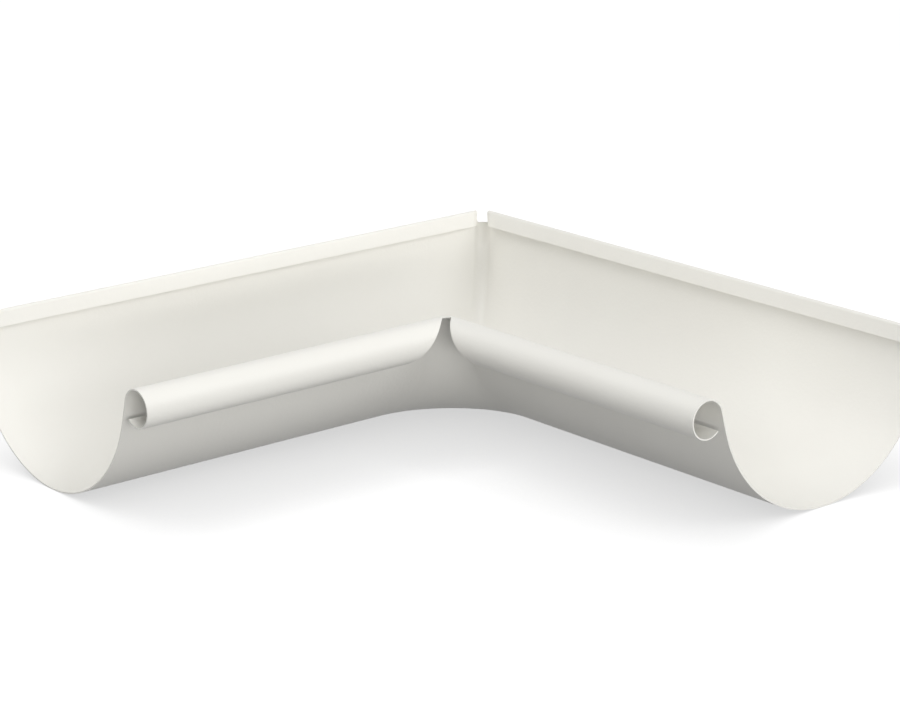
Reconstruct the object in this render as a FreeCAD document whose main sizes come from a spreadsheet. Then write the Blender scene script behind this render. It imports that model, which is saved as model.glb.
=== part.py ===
# Internal gutter angle: a 90 degree inside corner for a half-round eaves gutter,
# pressed in one piece from coated steel sheet.
# The section is drawn with u = 0 at the front of the half round and z = 0 at its axis.
# One arm runs along +X with its back wall on the +Y side; the other arm is its mirror
# image in the plane x = -y and runs along -Y. Where the two front walls would meet is
# the plan origin while the sheet is built, and the finished piece is then moved so that
# its origin is the middle of its footprint, at the lowest line of the trough.
import FreeCAD, Part
import Sketcher
import math
import os

from FreeCAD import Matrix, Placement, Rotation, Vector

SIZES = [
    ("sheet_thickness", 0.6),
    ("gutter_width", 125.0),
    ("arm_length", 302.0),
    ("front_wall_lean", 14.7),
    ("front_wall_length", 9.9),
    ("bead_diameter", 17.4),
    ("bead_opening_angle", 60.0),
    ("bead_notch_angle", 45.0),
    ("crest_radius", 2.9),
    ("back_corner_radius", 5.6),
    ("rim_rise", 4.8),
    ("rim_bend_radius", 1.3),
    ("lip_length", 6.6),
    ("lip_splay", 12.0),
    ("rim_notch_setback", 4.4),
    ("rim_notch_drop", 1.9),
    ("rim_notch_angle", 18.0),
]

doc = FreeCAD.newDocument("internal_gutter_angle")
sheet = doc.addObject("Spreadsheet::Sheet", "sizes")
for row, (alias, value) in enumerate(SIZES, start=1):
    sheet.set(f"A{row}", alias)
    sheet.set(f"B{row}", str(value))
    sheet.setAlias(f"B{row}", alias)
doc.recompute()


def size(alias):
    """The value of one driving dimension, in millimetres or degrees."""
    return float(sheet.get(alias))


ACROSS_ARM = Rotation(Vector(1, 1, 1), 120)
FLAT = Rotation()
UPRIGHT = Rotation(Vector(1, 0, 0), 90)
ALONG_ARM = Vector(1, 0, 0)
INWARDS = Vector(0, -1, 0)
CREST = 90

# Places that the sketches start from; the rules below hold the same places in the document
THICKNESS = size("sheet_thickness")
RADIUS = size("gutter_width") / 2
LEAN = size("front_wall_lean")
WALL_LENGTH = size("front_wall_length")
BEAD_INNER = size("bead_diameter") / 2 - THICKNESS
BEAD_END = 360 + LEAN - size("bead_opening_angle")
BEND_RADIUS = size("rim_bend_radius")
BEND_CENTRE = Vector(2 * RADIUS - BEND_RADIUS, size("rim_rise") - BEND_RADIUS, 0)


def polar(centre, radius, degrees):
    """A point on a circle in the sketch plane."""
    angle = math.radians(degrees)
    return centre + Vector(radius * math.cos(angle), radius * math.sin(angle), 0)


def arc(centre, radius, start, end):
    """A circular arc that runs counter-clockwise between two angles in degrees."""
    circle = Part.Circle(centre, Vector(0, 0, 1), radius)
    return Part.ArcOfCircle(circle, math.radians(start), math.radians(end))


# The straight front wall leaves the half round at its lean and touches the bead at its head
ARC_CENTRE = Vector(RADIUS, 0, 0)
WALL_FOOT = polar(ARC_CENTRE, RADIUS, 180 + LEAN)
WALL_HEAD = polar(WALL_FOOT, WALL_LENGTH, LEAN + 90)
BEAD_CENTRE = polar(WALL_HEAD, BEAD_INNER, 180 + LEAN)
THROAT = size("crest_radius") - BEAD_CENTRE.x

# One slanted side of the notch at the back corner runs up the wall and down the folded lip
NOTCH_SLOPE = math.tan(math.radians(size("rim_notch_angle")))
RIM_START = size("rim_notch_setback") - 2 * RADIUS + (size("rim_notch_drop") + BEND_CENTRE.y) * NOTCH_SLOPE

# The same places as rules of the sheet of sizes
INSIDE_BEAD = "(sizes.bead_diameter / 2 - sizes.sheet_thickness)"
WALL_UP = "sizes.front_wall_length * cos(sizes.front_wall_lean * 1 deg)"
WALL_OUT = "sizes.front_wall_length * sin(sizes.front_wall_lean * 1 deg)"
BOTH_RADII = f"(sizes.gutter_width / 2 + {INSIDE_BEAD})"
BEAD_OUT = f"{BOTH_RADII} * cos(sizes.front_wall_lean * 1 deg) + {WALL_OUT} - sizes.gutter_width / 2"
BEAD_DOWN = f"{BOTH_RADII} * sin(sizes.front_wall_lean * 1 deg) - {WALL_UP}"
THROAT_RULE = f"sizes.crest_radius + {BEAD_OUT}"
ARM_END = "sizes.arm_length - sizes.gutter_width"
WALL_HEIGHT = "(sizes.rim_rise - sizes.rim_bend_radius)"
SLOPE_RULE = "tan(sizes.rim_notch_angle * 1 deg)"
NOTCH_SLANT = f"(sizes.rim_notch_drop + {WALL_HEIGHT}) * {SLOPE_RULE}"
RIM_START_RULE = f"{NOTCH_SLANT} + sizes.rim_notch_setback - sizes.gutter_width"
START, END, CENTRE, ORIGIN, AXIS = 1, 2, 3, -1, -1


def new_sketch(name, rotation, **offsets):
    """An empty sketch, across an arm or flat on the plan, set off by rules of the sheet."""
    sketch = doc.addObject("Sketcher::SketchObject", name)
    sketch.Placement = Placement(Vector(0, 0, 0), rotation)
    for direction, rule in offsets.items():
        sketch.setExpression(f"Placement.Base.{direction}", rule)
    return sketch


def hold(sketch, kind, *places):
    """Add one geometric constraint."""
    sketch.addConstraint(Sketcher.Constraint(kind, *places))


def bind(sketch, name, expression, kind, *places):
    """Add one dimension and bind it to the sheet of sizes."""
    index = sketch.addConstraint(Sketcher.Constraint(kind, *places))
    sketch.renameConstraint(index, name)
    sketch.setExpression(f"Constraints.{name}", expression)


def bend_sheet(line_sketch, sign=""):
    """Give a drawn outer line the thickness of the sheet, on the side that the sign picks."""
    section = doc.addObject("Part::Offset2D", line_sketch.Name.replace("line", "section"))
    section.Source = line_sketch
    section.setExpression("Value", f"{sign}sizes.sheet_thickness")
    section.Mode = "Skin"
    section.Fill = True
    return section


def run(base, name, direction, length, back="0"):
    """Run an outline in one direction, and back from its plane if need be."""
    extrusion = doc.addObject("Part::Extrusion", name)
    extrusion.Base = base
    extrusion.DirMode = "Custom"
    extrusion.Dir = direction
    extrusion.Solid = True
    extrusion.setExpression("LengthFwd", length)
    extrusion.setExpression("LengthRev", back)
    return extrusion


def closed_line(sketch, corners):
    """Draw a closed outline of straight sides and give back the sides."""
    sides = [sketch.addGeometry(Part.LineSegment(*ends)) for ends in zip(corners, corners[1:] + corners[:1])]
    for side, following in zip(sides, sides[1:] + sides[:1]):
        hold(sketch, "Coincident", side, END, following, START)
    return sides


def half_round(sketch, curve):
    """Hold a drawn arc to the half round of the gutter."""
    hold(sketch, "PointOnObject", curve, CENTRE, AXIS)
    bind(sketch, "half_width", "sizes.gutter_width / 2", "DistanceX", ORIGIN, 1, curve, CENTRE, RADIUS)
    bind(sketch, "outer_radius", "sizes.gutter_width / 2", "Radius", curve, RADIUS)


def front_line():
    """Outer line from the crest of the bead down the front wall to the bottom of the trough."""
    sketch = new_sketch("front_line", ACROSS_ARM, x=THROAT_RULE)
    bead = sketch.addGeometry(arc(BEAD_CENTRE, BEAD_INNER, LEAN, CREST))
    wall = sketch.addGeometry(Part.LineSegment(WALL_FOOT, WALL_HEAD))
    trough = sketch.addGeometry(arc(ARC_CENTRE, RADIUS, 180 + LEAN, 270))
    hold(sketch, "Tangent", wall, END, bead, START)
    hold(sketch, "Tangent", wall, START, trough, START)
    hold(sketch, "Vertical", bead, CENTRE, bead, END)
    hold(sketch, "Vertical", trough, CENTRE, trough, END)
    half_round(sketch, trough)
    bind(sketch, "bead_inside", INSIDE_BEAD, "Radius", bead, BEAD_INNER)
    bind(sketch, "wall_up", WALL_UP, "DistanceY", wall, START, wall, END, WALL_HEAD.y - WALL_FOOT.y)
    bind(sketch, "wall_out", WALL_OUT, "DistanceX", wall, END, wall, START, WALL_FOOT.x - WALL_HEAD.x)
    return sketch


def curl_line():
    """Outer line of the bead from its crest outwards, down and back to its free edge."""
    sketch = new_sketch("curl_line", ACROSS_ARM, x=THROAT_RULE)
    curl = sketch.addGeometry(arc(BEAD_CENTRE, BEAD_INNER, CREST, BEAD_END))
    hold(sketch, "Vertical", curl, CENTRE, curl, START)
    bind(sketch, "bead_inside", INSIDE_BEAD, "Radius", curl, BEAD_INNER)
    bind(sketch, "bead_out", BEAD_OUT, "DistanceX", curl, CENTRE, ORIGIN, 1, -BEAD_CENTRE.x)
    bind(sketch, "bead_down", BEAD_DOWN, "DistanceY", curl, CENTRE, ORIGIN, 1, -BEAD_CENTRE.y)
    bind(sketch, "curl_span", "(270 + sizes.front_wall_lean - sizes.bead_opening_angle) * 1 deg",
         "Angle", curl, math.radians(BEAD_END - CREST))
    return sketch


def back_line():
    """Outer line from the bottom of the trough up its back wall to where the rim's bend starts."""
    sketch = new_sketch("back_line", ACROSS_ARM)
    trough = sketch.addGeometry(arc(ARC_CENTRE, RADIUS, 270, 360))
    wall = sketch.addGeometry(Part.LineSegment(Vector(2 * RADIUS, 0, 0), Vector(2 * RADIUS, BEND_CENTRE.y, 0)))
    hold(sketch, "Vertical", trough, CENTRE, trough, START)
    hold(sketch, "Horizontal", trough, CENTRE, trough, END)
    hold(sketch, "Tangent", trough, END, wall, START)
    half_round(sketch, trough)
    bind(sketch, "wall_height", WALL_HEIGHT, "DistanceY", wall, START, wall, END, BEND_CENTRE.y)
    return sketch


def rim_line():
    """Outer line of the bend at the top of the back wall and of the lip folded inwards from it."""
    sketch = new_sketch("rim_line", ACROSS_ARM, x=RIM_START_RULE)
    turn = 180 - size("lip_splay")
    lip_head = polar(BEND_CENTRE, BEND_RADIUS, turn)
    lip_foot = lip_head + polar(Vector(), size("lip_length"), turn + 90)
    bend = sketch.addGeometry(arc(BEND_CENTRE, BEND_RADIUS, 0, turn))
    lip = sketch.addGeometry(Part.LineSegment(lip_head, lip_foot))
    hold(sketch, "Horizontal", bend, CENTRE, bend, START)
    hold(sketch, "Tangent", bend, END, lip, START)
    bind(sketch, "width", "sizes.gutter_width", "DistanceX", ORIGIN, 1, bend, START, 2 * RADIUS)
    bind(sketch, "height", WALL_HEIGHT, "DistanceY", ORIGIN, 1, bend, START, BEND_CENTRE.y)
    bind(sketch, "bend_radius", "sizes.rim_bend_radius", "Radius", bend, BEND_RADIUS)
    bind(sketch, "lip_length", "sizes.lip_length", "Distance", lip, size("lip_length"))
    bind(sketch, "bend_turn", "(180 - sizes.lip_splay) * 1 deg", "Angle", bend, math.radians(turn))
    return sketch


def front_corner(section):
    """The front of the section turned a quarter circle about the throat between the beads."""
    turned = doc.addObject("Part::Revolution", "front_corner")
    turned.Source = section
    turned.Axis = Vector(0, 0, 1)
    turned.Solid = True
    turned.Angle = 90
    turned.setExpression("Base.x", THROAT_RULE)
    turned.setExpression("Base.y", f"-({THROAT_RULE})")
    return turned


def bottom_corner():
    """The flat of the trough's bottom between the turned front and the rounded back corner."""
    sketch = new_sketch("bottom_line", FLAT, z="-sizes.gutter_width / 2")
    back = size("back_corner_radius")
    turn_centre = Vector(THROAT, -THROAT, 0)
    back_centre = Vector(back - RADIUS, RADIUS - back, 0)
    front = sketch.addGeometry(arc(turn_centre, THROAT + RADIUS, 90, 180))
    side = sketch.addGeometry(Part.LineSegment(Vector(THROAT, RADIUS, 0), Vector(back - RADIUS, RADIUS, 0)))
    corner = sketch.addGeometry(arc(back_centre, back, 90, 180))
    mate = sketch.addGeometry(Part.LineSegment(Vector(-RADIUS, RADIUS - back, 0), Vector(-RADIUS, -THROAT, 0)))
    hold(sketch, "Coincident", front, START, side, START)
    hold(sketch, "Tangent", side, END, corner, START)
    hold(sketch, "Tangent", corner, END, mate, START)
    hold(sketch, "Coincident", mate, END, front, END)
    hold(sketch, "Horizontal", side)
    hold(sketch, "Vertical", mate)
    hold(sketch, "Vertical", front, CENTRE, front, START)
    hold(sketch, "Horizontal", front, CENTRE, front, END)
    bind(sketch, "side_place", "sizes.gutter_width / 2", "DistanceY", ORIGIN, 1, side, START, RADIUS)
    bind(sketch, "throat_across", THROAT_RULE, "DistanceX", ORIGIN, 1, front, CENTRE, THROAT)
    bind(sketch, "throat_along", THROAT_RULE, "DistanceY", front, CENTRE, ORIGIN, 1, THROAT)
    bind(sketch, "corner_radius", "sizes.back_corner_radius", "Radius", corner, back)
    return run(sketch, "bottom_corner", Vector(0, 0, 1), "sizes.sheet_thickness")


def back_corner(section):
    """One arm's half of the rounded back corner: the section along the mitre, carried round an
    arc that has the corner's radius on the plan, so that the wall runs into it without an edge."""
    radius = size("back_corner_radius")
    mitre = Matrix()
    mitre.A12 = -1
    profile = section.Shape.Faces[0].OuterWire.transformGeometry(mitre)
    centre = Vector(radius, -radius, 0)
    first = polar(centre, radius, 135)
    middle = polar(centre, radius, 112.5)
    last = polar(centre, radius, 90)
    profile.translate(first)
    sweep = Part.BRepOffsetAPI.MakePipeShell(Part.Wire([Part.Arc(first, middle, last).toShape()]))
    sweep.setTrihedronMode(Vector(0, 0, 0), Vector(0, 0, 1))
    sweep.add(profile)
    sweep.build()
    sweep.makeSolid()
    corner = doc.addObject("Part::Feature", "back_corner")
    corner.Shape = sweep.shape()
    return corner


def cut(name, base, tool):
    """Take one solid away from another."""
    result = doc.addObject("Part::Cut", name)
    result.Base = base
    result.Tool = tool
    return result


def mitred_back(section):
    """The back half of an arm, cut off where the rounded back corner begins."""
    whole = run(section, "back_run", ALONG_ARM, ARM_END, "sizes.gutter_width * 1.1")
    beyond = doc.addObject("Part::Box", "beyond_mitre")
    beyond.Placement = Placement(Vector(0, 0, 0), Rotation(Vector(0, 0, 1), 45))
    for target, rule in (("Length", "sizes.gutter_width"),
                         ("Width", "2 * sizes.gutter_width"),
                         ("Height", "2 * sizes.gutter_width"),
                         ("Placement.Base.x", "sizes.back_corner_radius - sizes.gutter_width * sqrt(0.5)"),
                         ("Placement.Base.y", "-sizes.gutter_width * sqrt(0.5)"),
                         ("Placement.Base.z", "-sizes.gutter_width")):
        beyond.setExpression(target, rule)
    return cut("back_arm", whole, beyond)


def notched_wall(section):
    """An arm's back wall with its half of the rounded corner and one slanted side of the notch
    that the flat blank has there, so that its edge can be folded."""
    joined = fuse("corner_wall", [mitred_back(section), back_corner(section)])
    sketch = new_sketch("notch_outline", UPRIGHT, y="sizes.gutter_width")
    far_low = Vector(-2 * RADIUS, -size("rim_notch_drop"), 0)
    low = far_low + Vector(size("rim_notch_setback"), 0, 0)
    high = Vector(RIM_START, BEND_CENTRE.y, 0)
    far_high = Vector(-2 * RADIUS, BEND_CENTRE.y, 0)
    floor, side, head, far = closed_line(sketch, [far_low, low, high, far_high])
    hold(sketch, "Horizontal", floor)
    hold(sketch, "Horizontal", head)
    hold(sketch, "Vertical", far)
    bind(sketch, "far_side", "sizes.gutter_width", "DistanceX", floor, START, ORIGIN, 1, 2 * RADIUS)
    bind(sketch, "drop", "sizes.rim_notch_drop", "DistanceY", floor, START, ORIGIN, 1, -low.y)
    bind(sketch, "setback", "sizes.rim_notch_setback", "DistanceX", floor, START, floor, END, low.x - far_low.x)
    bind(sketch, "height", WALL_HEIGHT, "DistanceY", ORIGIN, 1, head, START, high.y)
    bind(sketch, "slant", NOTCH_SLANT, "DistanceX", side, START, side, END, high.x - low.x)
    tool = run(sketch, "wall_notch", INWARDS, "sizes.back_corner_radius")
    return cut("back_wall", joined, tool)


def slanted_rim(section):
    """The bend and lip of an arm; the lip goes on with the slant of the notch at the corner."""
    whole = run(section, "rim_run", ALONG_ARM, f"{ARM_END} - ({RIM_START_RULE})")
    sketch = new_sketch("lip_cut_outline", UPRIGHT, y="sizes.gutter_width - sizes.rim_bend_radius")
    top = Vector(RIM_START, BEND_CENTRE.y, 0)
    low = top - Vector(0, size("lip_length"), 0)
    far = low + Vector(size("lip_length") * NOTCH_SLOPE, 0, 0)
    down, base, slant = closed_line(sketch, [top, low, far])
    hold(sketch, "Vertical", down)
    hold(sketch, "Horizontal", base)
    bind(sketch, "station", f"-({RIM_START_RULE})", "DistanceX", down, START, ORIGIN, 1, -top.x)
    bind(sketch, "height", WALL_HEIGHT, "DistanceY", ORIGIN, 1, down, START, top.y)
    bind(sketch, "depth", "sizes.lip_length", "DistanceY", down, END, down, START, top.y - low.y)
    bind(sketch, "slant", f"sizes.lip_length * {SLOPE_RULE}", "DistanceX", base, START, base, END, far.x - low.x)
    tool = run(sketch, "lip_cut", INWARDS, "sizes.lip_length")
    return cut("rim_arm", whole, tool)


def bead_notch():
    """The corner notch of the flat blank, as it lies once the edge is rolled into the bead:
    its side leaves the crest at the throat and winds round the bead away from the corner."""
    margin = 5
    wound = BEAD_END - CREST + 2 * margin
    middle = BEAD_INNER + THICKNESS / 2
    pitch = 2 * math.pi * middle * math.tan(math.radians(size("bead_notch_angle")))
    advance = pitch * wound / 360
    helix = Part.makeHelix(pitch, advance, middle)
    near = middle - THICKNESS
    far = middle + THICKNESS
    corners = [Vector(near, 0, 0), Vector(far, 0, 0), Vector(far, 0, -2 * advance), Vector(near, 0, -2 * advance)]
    sweep = Part.BRepOffsetAPI.MakePipeShell(Part.Wire(helix.Edges))
    sweep.setFrenetMode(True)
    sweep.add(Part.makePolygon(corners + corners[:1]))
    sweep.build()
    sweep.makeSolid()
    notch = doc.addObject("Part::Feature", "bead_notch")
    notch.Shape = sweep.shape()
    # The helix starts just before the crest and winds outwards as it runs along +X
    lead = pitch * margin / 360
    axis = Vector(THROAT - lead, BEAD_CENTRE.x, BEAD_CENTRE.y)
    upright = Rotation(Vector(0, 0, 1), Vector(0, -1, 0), Vector(1, 0, 0), "XYZ")
    notch.Placement = Placement(axis, upright * Rotation(Vector(0, 0, 1), -margin))
    return notch


def fuse(name, solids):
    """Join solids that meet face to face."""
    result = doc.addObject("Part::MultiFuse", name)
    result.Shapes = solids
    return result


def gutter_angle():
    """The pressed sheet: two mirrored arms, the turned front, the flat and the rounded back corner."""
    front_section = bend_sheet(front_line())
    curl_section = bend_sheet(curl_line(), "-")
    back_section = bend_sheet(back_line(), "-")
    rim_section = bend_sheet(rim_line(), "-")
    doc.recompute()
    front = run(front_section, "front_arm", ALONG_ARM, f"{ARM_END} - ({THROAT_RULE})")
    whole_curl = run(curl_section, "curl_run", ALONG_ARM, f"{ARM_END} - ({THROAT_RULE})")
    curl = cut("curl_arm", whole_curl, bead_notch())
    arm = fuse("arm", [front, curl, notched_wall(back_section), slanted_rim(rim_section)])
    mirrored = doc.addObject("Part::Mirroring", "mirrored_arm")
    mirrored.Source = arm
    mirrored.Normal = Vector(1, 1, 0)
    pressed = fuse("pressed_sheet", [arm, mirrored, front_corner(front_section), bottom_corner()])
    angle = doc.addObject("Part::Refine", "finished_sheet")
    angle.Source = pressed
    angle.Label = "gutter_angle"
    for side, rule in (("x", "sizes.gutter_width - sizes.arm_length / 2"),
                       ("y", "sizes.arm_length / 2 - sizes.gutter_width"),
                       ("z", "sizes.gutter_width / 2")):
        angle.setExpression(f"Placement.Base.{side}", rule)
    return angle


node = gutter_angle()
doc.recompute()
for item in doc.Objects:
    if "Invalid" in item.State or "Error" in item.State:
        raise RuntimeError(f"{item.Label} failed: {item.State}")
shape = node.Shape
if shape.isNull() or not shape.isValid() or len(shape.Solids) != 1:
    raise RuntimeError(f"{node.Label} is not one valid solid")
os.makedirs("parts", exist_ok=True)
solid = shape.Solids[0]
solid.exportStep(f"parts/{node.Label}.step")
print(f"{node.Label}: {solid.Volume / 1000:.1f} cm3, {len(solid.Faces)} faces")
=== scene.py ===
# %% [markdown]
# An internal gutter angle is the inside corner of a half-round eaves gutter. This one is
# pressed from one sheet of steel and painted off-white. The frame that this script loads
# already holds the sheet's true shape, so the lesson is about its finish, its light and its
# camera.
#
# The frame gives the part as one object. Its box is kept, because a finish may not change a
# size.

import math

import bpy
from mathutils import Matrix, Vector

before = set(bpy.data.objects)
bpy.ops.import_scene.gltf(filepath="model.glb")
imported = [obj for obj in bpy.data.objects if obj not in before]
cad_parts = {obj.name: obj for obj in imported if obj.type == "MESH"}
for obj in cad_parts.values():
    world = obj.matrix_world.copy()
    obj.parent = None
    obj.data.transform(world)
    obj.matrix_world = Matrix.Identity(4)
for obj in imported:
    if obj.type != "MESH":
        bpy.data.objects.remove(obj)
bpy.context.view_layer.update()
MM = 0.001
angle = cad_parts["gutter_angle"]
print("gutter_angle:", len(angle.data.polygons), "faces")

# %% [markdown]
# A paint chart gives a colour as a hex value, and that is the easiest form to read. Blender
# works in linear light, so one function turns the chart's value into a linear colour.
#
# The paint is an off-white: a white with a trace of warm grey. A real coat isn't quite even.
# Its tone drifts by a hair along the coil, so it has two values, too close to see as two. A
# third is painted shade for the rounded back corner, where the walls and rim lips close in.

# %% Colours
def linear(hex_colour):
    """A linear colour with alpha from an sRGB hex value such as E6E4DB."""
    values = [int(hex_colour[i:i + 2], 16) / 255 for i in (0, 2, 4)]
    return (*[v / 12.92 if v <= 0.04045 else ((v + 0.055) / 1.055) ** 2.4 for v in values], 1.0)


OFF_WHITE = linear("EEEDE7")
OFF_WHITE_SHADE = linear("ECEAE4")
# Painted shade: the darker white laid on the rounded back corner, where the walls close in.
CORNER_SHADE_WHITE = linear("DBD9D1")
FLOOR_GREY = linear("7A7A7A")
print("off-white, linear:", [round(v, 3) for v in OFF_WHITE])

# %% [markdown]
# A material is a small graph of nodes. One function adds a node, sets it and links it, so
# that a later cell reads as a list of what is joined to what. It serves the sky as well,
# because a world has the same kind of graph.

# %% One function for every node
def add_node(owner, kind, links=None, **settings):
    """Add a node. Settings name its properties or inputs; links name inputs and their sources."""
    node = owner.node_tree.nodes.new(kind)
    for name, value in settings.items():
        if hasattr(node, name):
            setattr(node, name, value)
        else:
            node.inputs[name.replace("_", " ")].default_value = value
    for name, source in (links or {}).items():
        owner.node_tree.links.new(source, node.inputs[name])
    return node


def new_material(name):
    """A material with an empty graph."""
    material = bpy.data.materials.new(name)
    material.use_nodes = True
    material.node_tree.nodes.clear()
    return material


# %% [markdown]
# The gutter is polyester-coated steel: galvanised sheet that takes a polyester paint from
# rollers, has it baked on, and is then pressed and rolled to shape. To the eye that is a
# clean satin skin. A highlight is soft and wide, as on the rolled beads, and never mirrors.
#
# One even value for everything would look like moulded plastic, so the coat and the press
# leave three marks, each at its own real size:
# the orange peel, a fine ripple about 1.6 mm from crest to crest,
# the pressed sheet's own slow waves, about a hand's width apart and a few tenths deep,
# and a gloss that changes a little over some 25 mm, where the sheet was drawn or handled.
# All three are noise in the object's own coordinates, so they stay on the steel in any view.
# The real peel is only a few thousandths of a millimetre deep, too fine to show, so it is
# drawn over ten times as deep. That still leaves the walls clean in this soft light.

# %% Waves, ripple and gloss of the coat
SHEET_WAVE = 90 * MM
WAVE_DEPTH = 0.4 * MM
ORANGE_PEEL = 1.6 * MM
PEEL_DEPTH = 0.06 * MM
GLOSS_PATCH = 25 * MM
SATIN_ROUGHNESS = 0.45
GLOSS_DRIFT = 0.05

coated_steel = new_material("polyester_coated_steel")
place = add_node(coated_steel, "ShaderNodeTexCoord").outputs["Object"]
wave = add_node(coated_steel, "ShaderNodeTexNoise", {"Vector": place}, Scale=1 / SHEET_WAVE, Detail=0.0)
waved = add_node(coated_steel, "ShaderNodeBump", {"Height": wave.outputs["Fac"]}, Distance=WAVE_DEPTH)
peel = add_node(coated_steel, "ShaderNodeTexNoise", {"Vector": place}, Scale=1 / ORANGE_PEEL, Detail=2.0)
peeled = add_node(coated_steel, "ShaderNodeBump",
                  {"Height": peel.outputs["Fac"], "Normal": waved.outputs["Normal"]}, Distance=PEEL_DEPTH)

patch = add_node(coated_steel, "ShaderNodeTexNoise", {"Vector": place}, Scale=1 / GLOSS_PATCH, Detail=3.0)
gloss = add_node(coated_steel, "ShaderNodeMapRange", {"Value": patch.outputs["Fac"]},
                 To_Min=SATIN_ROUGHNESS - GLOSS_DRIFT, To_Max=SATIN_ROUGHNESS + GLOSS_DRIFT)
print("orange peel every", round(ORANGE_PEEL / MM, 1), "mm, slow waves every", round(SHEET_WAVE / MM), "mm")

# %% [markdown]
# The tone of the coat takes two steps. The first is the drift, where noise picks between the
# two off-whites over some 60 mm.
#
# The second is painted shade on the rounded back corner, a narrow strip where the rim lips and
# the two walls close in. The shade is painted darkest just under the notch and fades where the
# strip runs down into the trough. A material of its own on the strip's faces would end in hard
# lines, so a mask lays the painted shade over it instead. The corner lies on the mitre, where
# x + y is nought, so that sum tells how far across it a point is, and y - x tells how far out.
# The mask is whole up to a sum of 5 mm, at the strip's edges, and gone at 6.5 mm, so its sides
# are soft.

# %% Tone of the coat
TONE_DRIFT = 60 * MM
STRIP_INSIDE = 5.0 * MM
STRIP_OUTSIDE = 6.5 * MM
STRIP_LOW_END = 250 * MM
STRIP_TOP_END = 298 * MM
# Each pair is a place between the low end and the top end, and the painted shade's share there.
STRIP_SHARES = ((0.0, 0.0), (0.45, 0.24), (0.92, 0.3), (0.985, 0.95))
# A mix node repeats its A, B and result for each kind of value. These numbers are the colour ones.
MIX_A, MIX_B, MIX_RESULT = 6, 7, 2

drift = add_node(coated_steel, "ShaderNodeTexNoise", {"Vector": place}, Scale=1 / TONE_DRIFT, Detail=2.0)
drifted = add_node(coated_steel, "ShaderNodeValToRGB", {"Fac": drift.outputs["Fac"]})
drifted.color_ramp.elements[0].color = OFF_WHITE_SHADE
drifted.color_ramp.elements[1].color = OFF_WHITE

axes = add_node(coated_steel, "ShaderNodeSeparateXYZ", {"Vector": place}).outputs
off_mitre = add_node(coated_steel, "ShaderNodeMath", {0: axes["X"], 1: axes["Y"]}, operation="ADD")
across = add_node(coated_steel, "ShaderNodeMath", {0: off_mitre.outputs[0]}, operation="ABSOLUTE")
outwards = add_node(coated_steel, "ShaderNodeMath", {0: axes["Y"], 1: axes["X"]}, operation="SUBTRACT")
strip = add_node(coated_steel, "ShaderNodeMapRange", {"Value": across.outputs[0]},
                 From_Min=STRIP_OUTSIDE, From_Max=STRIP_INSIDE)
reach = add_node(coated_steel, "ShaderNodeMapRange", {"Value": outwards.outputs[0]},
                 From_Min=STRIP_LOW_END, From_Max=STRIP_TOP_END)
share = add_node(coated_steel, "ShaderNodeValToRGB", {"Fac": reach.outputs["Result"]})
# A ramp starts with two stops. New ones go in halfway, and then each stop gets its own place.
stops = share.color_ramp.elements
for _ in range(len(STRIP_SHARES) - len(stops)):
    stops.new(0.5)
for stop, (position, value) in zip(stops, STRIP_SHARES):
    stop.position = position
    stop.color = (value, value, value, 1)

# The painted shade on the corner: the mask across the strip times its share down the corner.
painted_shade = add_node(coated_steel, "ShaderNodeMath",
                     {0: strip.outputs["Result"], 1: share.outputs["Color"]}, operation="MULTIPLY")
tone = add_node(coated_steel, "ShaderNodeMix",
                {"Factor": painted_shade.outputs[0], MIX_A: drifted.outputs["Color"]}, data_type="RGBA")
tone.inputs[MIX_B].default_value = CORNER_SHADE_WHITE
print("stretched tone's shares, from the low end up:", [round(stop.color[0], 2) for stop in stops])

# %% [markdown]
# One shader takes all of it. The paint hides the metal, so nothing is metallic, and the IOR
# is that of polyester. It never changes over the surface, so it is set on the shader itself.
#
# The part's own mesh is already right, down to the cut edges, so it stays as it is and only
# its material slots change. The coil was painted before it was cut, and the photograph shows
# the thin edges as pale as the rest, so they get the same paint.

# %% Paint on the gutter angle
POLYESTER_IOR = 1.5

paint = add_node(coated_steel, "ShaderNodeBsdfPrincipled",
                 {"Base Color": tone.outputs[MIX_RESULT], "Roughness": gloss.outputs["Result"],
                  "Normal": peeled.outputs["Normal"]}, IOR=POLYESTER_IOR)
add_node(coated_steel, "ShaderNodeOutputMaterial", {"Surface": paint.outputs["BSDF"]})

for slot in angle.material_slots:
    slot.material = coated_steel
print("gutter_angle is painted with", [slot.material.name for slot in angle.material_slots])

# %% [markdown]
# The background is white, but a white floor and sky would throw so much light back that the
# undersides lost their shade. So the floor and the sky look white only to the rays that show
# them to somebody: the camera's, and those seen in gloss or through glass. Every other ray
# meets a greyer floor and a softer sky. One function makes that switch for both.

# %% Which rays see white
def seen_directly(owner):
    """An output of 1 for a camera, glossy or transmission ray, and 0 for any other."""
    ray = add_node(owner, "ShaderNodeLightPath").outputs
    either = add_node(owner, "ShaderNodeMath", {0: ray["Is Camera Ray"], 1: ray["Is Glossy Ray"]},
                      operation="MAXIMUM")
    any_of_three = add_node(owner, "ShaderNodeMath", {0: either.outputs[0], 1: ray["Is Transmission Ray"]},
                            operation="MAXIMUM")
    return any_of_three.outputs[0]


# %% [markdown]
# The gutter lies on a plain sheet of paper. A floor that only glows would hold no shadow, so
# a grey diffuse surface catches it, and a glow on top lifts the paper to white. The glow
# dims where something stands close above, as an ambient occlusion node measures, so the
# contact shadow stays and the part keeps its place on the floor.

# %% Floor
FLOOR_SIZE = 12.0
OPEN_GLOW = 0.9
SHADED_GLOW = 0.6
SHADE_REACH = 60 * MM

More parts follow.
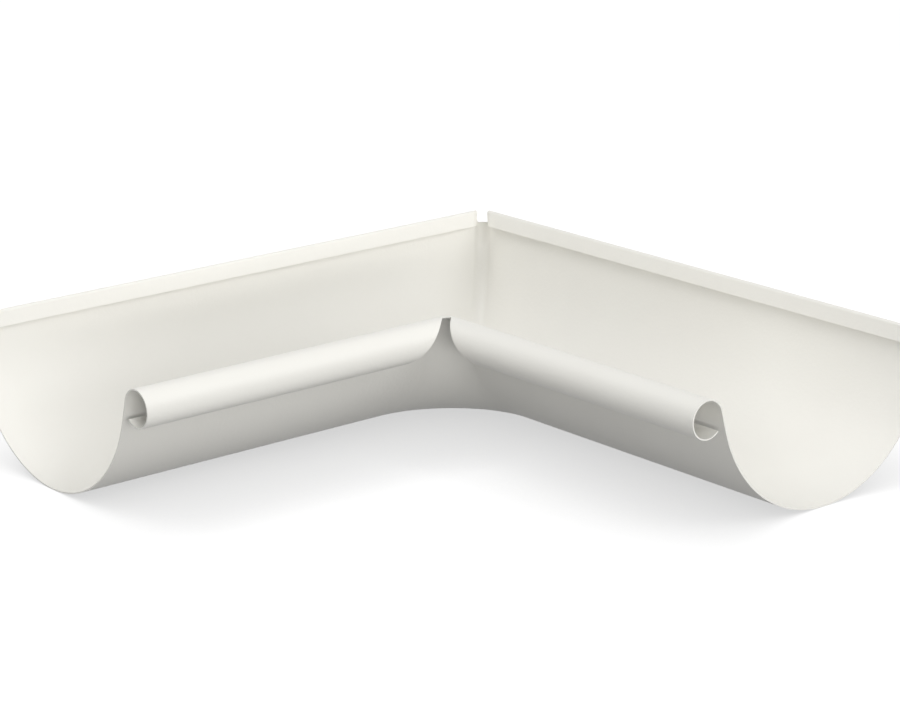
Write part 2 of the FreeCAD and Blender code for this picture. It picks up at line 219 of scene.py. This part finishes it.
floor_paper = new_material("white_floor_paper")
openness = add_node(floor_paper, "ShaderNodeAmbientOcclusion", samples=16, Distance=SHADE_REACH)
glow_here = add_node(floor_paper, "ShaderNodeMapRange", {"Value": openness.outputs["AO"]},
                     To_Min=SHADED_GLOW, To_Max=OPEN_GLOW)
lift = add_node(floor_paper, "ShaderNodeMath",
                {0: seen_directly(floor_paper), 1: glow_here.outputs["Result"]}, operation="MULTIPLY")
paper = add_node(floor_paper, "ShaderNodeBsdfDiffuse", Color=FLOOR_GREY)
glow = add_node(floor_paper, "ShaderNodeEmission", {"Strength": lift.outputs[0]})
both = add_node(floor_paper, "ShaderNodeAddShader", {0: paper.outputs[0], 1: glow.outputs[0]})
add_node(floor_paper, "ShaderNodeOutputMaterial", {"Surface": both.outputs[0]})

bpy.ops.mesh.primitive_plane_add(size=FLOOR_SIZE, location=(0, 0, 0))
floor = bpy.context.object
floor.name = "floor"
floor.data.materials.append(floor_paper)
print("floor:", FLOOR_SIZE, "m square, glow", SHADED_GLOW, "to", OPEN_GLOW)

# %% [markdown]
# The sky gives nearly half of the light, from everywhere at once, as a light tent does. That
# keeps the trough bright and even, and lets the wall under the rim go a little dark.

# %% Sky
SKY_LIGHT = 0.4

sky = bpy.data.worlds.new("white_sky")
bpy.context.scene.world = sky
sky.use_nodes = True
sky.node_tree.nodes.clear()
strength = add_node(sky, "ShaderNodeMapRange", {"Value": seen_directly(sky)}, To_Min=SKY_LIGHT, To_Max=1.0)
white = add_node(sky, "ShaderNodeBackground", {"Strength": strength.outputs["Result"]}, Color=(1, 1, 1, 1))
add_node(sky, "ShaderNodeOutputWorld", {"Surface": white.outputs[0]})
print("sky light:", SKY_LIGHT)

# %% [markdown]
# Four soft lamps give the sheet its shape. A tall one on the left and a square one on the
# right rake along the back walls and leave the rounded corner between them a shade darker.
# Two wide, flat ones stand low in front and reach the fronts that curve in under the beads.
# They stand nearer the right, so the left arm's front is the lighter one, as in the
# photograph. Their width matters: narrow lamps would throw a hard edge of shade across the
# left trough and leave the slit between the bead ends black.
#
# Light adds up, so each lamp was first rendered by itself. The powers are those of the mix
# whose tones came nearest to the photograph's.

# %% Lamps
def soft_lamp(name, azimuth, elevation, size, power, distance=2.0):
    """A lamp of a given width and height that faces the gutter from a direction in degrees."""
    a, e = math.radians(azimuth), math.radians(elevation)
    stand = Vector((math.sin(a) * math.cos(e), -math.cos(a) * math.cos(e), math.sin(e))) * distance
    data = bpy.data.lights.new(name, "AREA")
    data.shape = "RECTANGLE"
    data.size, data.size_y = size
    data.energy = power
    lamp = bpy.data.objects.new(name, data)
    lamp.location = stand
    lamp.rotation_euler = (-stand).to_track_quat("-Z", "Y").to_euler()
    bpy.context.scene.collection.objects.link(lamp)
    print(name, [round(c, 2) for c in stand], power, "W")


soft_lamp("left_lamp", azimuth=-45, elevation=68, size=(1.0, 1.6), power=15.5)
soft_lamp("right_lamp", azimuth=120, elevation=35, size=(1.0, 1.0), power=9.4)
soft_lamp("front_lamp", azimuth=75, elevation=15, size=(1.4, 0.5), power=7)
soft_lamp("low_lamp", azimuth=60, elevation=4.5, size=(1.4, 0.25), power=13.8)

# %% [markdown]
# The camera stands where the photograph's camera stood. Its place, its three angles and its
# lens were worked out from the edges of the rims, the troughs and the rolled beads. It is a
# long lens, far from the part, and a hair off level.

# %% Camera
CAMERA_PLACE = Vector((957.2, -776.2, 419.5)) * MM
CAMERA_AZIMUTH = 50.798
CAMERA_ELEVATION = 16.720
CAMERA_ROLL = -0.683
FOCAL_PIXELS = 2883.5
PHOTO_WIDTH = 900
SENSOR = 36.0

azimuth, elevation = math.radians(CAMERA_AZIMUTH), math.radians(CAMERA_ELEVATION)
level_back = Vector((math.sin(azimuth), -math.cos(azimuth), 0))
back = level_back * math.cos(elevation) + Vector((0, 0, math.sin(elevation)))
right = Vector((0, 0, 1)).cross(back).normalized()
up = back.cross(right)
turn = Matrix((right, up, back)).transposed().to_4x4()
roll = Matrix.Rotation(math.radians(CAMERA_ROLL), 4, "Z")

camera_data = bpy.data.cameras.new("camera")
camera_data.sensor_width = SENSOR
camera_data.lens = FOCAL_PIXELS / PHOTO_WIDTH * SENSOR
camera = bpy.data.objects.new("camera", camera_data)
camera.matrix_world = Matrix.Translation(CAMERA_PLACE) @ turn @ roll
bpy.context.scene.collection.objects.link(camera)
bpy.context.scene.camera = camera
bpy.context.scene.view_settings.view_transform = "Standard"
print("lens:", round(camera_data.lens, 1), "mm, distance:", round(CAMERA_PLACE.length, 3), "m")
